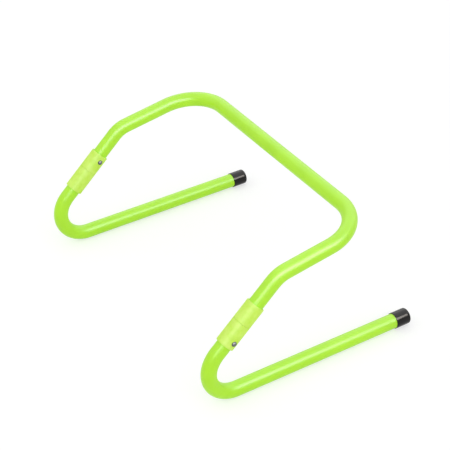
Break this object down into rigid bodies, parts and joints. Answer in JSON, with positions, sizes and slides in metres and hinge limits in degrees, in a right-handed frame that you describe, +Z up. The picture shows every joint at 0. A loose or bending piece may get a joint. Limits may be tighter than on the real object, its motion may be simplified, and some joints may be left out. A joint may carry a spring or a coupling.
{
  "type": "speed hurdle",
  "caption": "Free-standing training hurdle: a bent tube hoop on hairpin feet that turn half round in their sleeves, setting the crossbar low or high.",
  "frame": {"origin": "centre of the footprint, on the floor", "axes": "+X along the crossbar, +Y along the feet from their bends to their caps, +Z up"},
  "size_m": [0.53, 0.3947, 0.244],
  "materials": {
    "lime_tube": "glossy extruded PVC",
    "sleeve": "satin moulded polypropylene",
    "black_cap": "satin dipped vinyl",
    "button_steel": "bright plated steel",
    "spring_steel": "blank spring steel"
  },
  "bodies": {
    "hoop": {"hoop_tube": "lime_tube", "right_upper_sleeve": "sleeve", "right_swivel_ring": "spring_steel", "right_upper_button_spring": "spring_steel", "left_upper_sleeve": "sleeve", "left_swivel_ring": "spring_steel", "left_upper_button_spring": "spring_steel"},
    "right_foot": {"right_foot_tube": "lime_tube", "right_end_cap": "black_cap", "right_lower_sleeve": "sleeve", "right_lower_button_spring": "spring_steel"},
    "left_foot": {"left_foot_tube": "lime_tube", "left_end_cap": "black_cap", "left_lower_sleeve": "sleeve", "left_lower_button_spring": "spring_steel"},
    "right_upper_button": {"right_upper_button": "button_steel"},
    "left_upper_button": {"left_upper_button": "button_steel"},
    "right_lower_button": {"right_lower_button": "button_steel"},
    "left_lower_button": {"left_lower_button": "button_steel"}
  },
  "joints": [
    {"name": "right_foot_swivel", "type": "hinge", "parent": "hoop", "child": "right_foot", "pos_m": [0.2475, -0.12654, 0.13994], "axis": [0, -0.7193, -0.6947], "range_deg": [0, 180]},
    {"name": "left_foot_swivel", "type": "hinge", "parent": "hoop", "child": "left_foot", "pos_m": [-0.2475, -0.12654, 0.13994], "axis": [0, 0.7193, 0.6947], "range_deg": [0, 180]},
    {"name": "right_upper_button_press", "type": "slide", "parent": "hoop", "child": "right_upper_button", "axis": [1, 0, 0], "range_m": [0, 0.005], "stiffness_N_per_m": 3000, "springref_m": -0.002, "deforming": ["right_upper_button_spring"]},
    {"name": "left_upper_button_press", "type": "slide", "parent": "hoop", "child": "left_upper_button", "axis": [-1, 0, 0], "range_m": [0, 0.005], "stiffness_N_per_m": 3000, "springref_m": -0.002, "deforming": ["left_upper_button_spring"]},
    {"name": "right_lower_button_press", "type": "slide", "parent": "right_foot", "child": "right_lower_button", "axis": [-1, 0, 0], "range_m": [0, 0.005], "stiffness_N_per_m": 3000, "springref_m": -0.002, "deforming": ["right_lower_button_spring"]},
    {"name": "left_lower_button_press", "type": "slide", "parent": "left_foot", "child": "left_lower_button", "axis": [1, 0, 0], "range_m": [0, 0.005], "stiffness_N_per_m": 3000, "springref_m": -0.002, "deforming": ["left_lower_button_spring"]}
  ]
}
